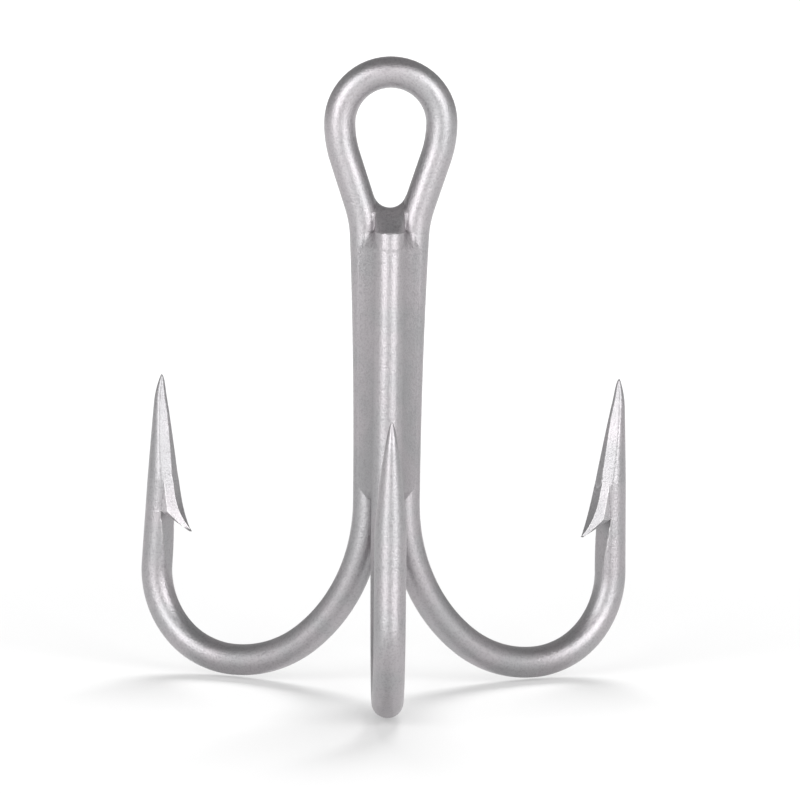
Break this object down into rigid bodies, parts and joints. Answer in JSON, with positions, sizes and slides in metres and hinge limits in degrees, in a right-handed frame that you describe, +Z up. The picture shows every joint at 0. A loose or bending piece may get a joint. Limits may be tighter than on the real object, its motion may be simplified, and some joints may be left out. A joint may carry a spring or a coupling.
{
  "type": "treble hook",
  "caption": "Treble fishing hook: a double hook bent with its eye from one wire and a single hook, brazed together along the shank, with ground spear points and cut barbs.",
  "frame": {"origin": "centre of the eye's round loop, on the wire's middle plane", "axes": "+Z up along the shank towards the eye, +Y along the eye's hole, single hook's point on the -Y side, +X to the right"},
  "size_m": [0.0378, 0.0327, 0.0488],
  "materials": {
    "tinned_wire": "satin tin plating over spring steel wire, fine grain",
    "braze_filler": "satin tin plating over brazing filler"
  },
  "bodies": {
    "root": {"double_hook": "tinned_wire", "single_hook": "tinned_wire", "braze_fillet_left": "braze_filler", "braze_fillet_right": "braze_filler", "braze_fillet_rear": "braze_filler", "braze_eye_saddle": "braze_filler"}
  },
  "joints": []
}
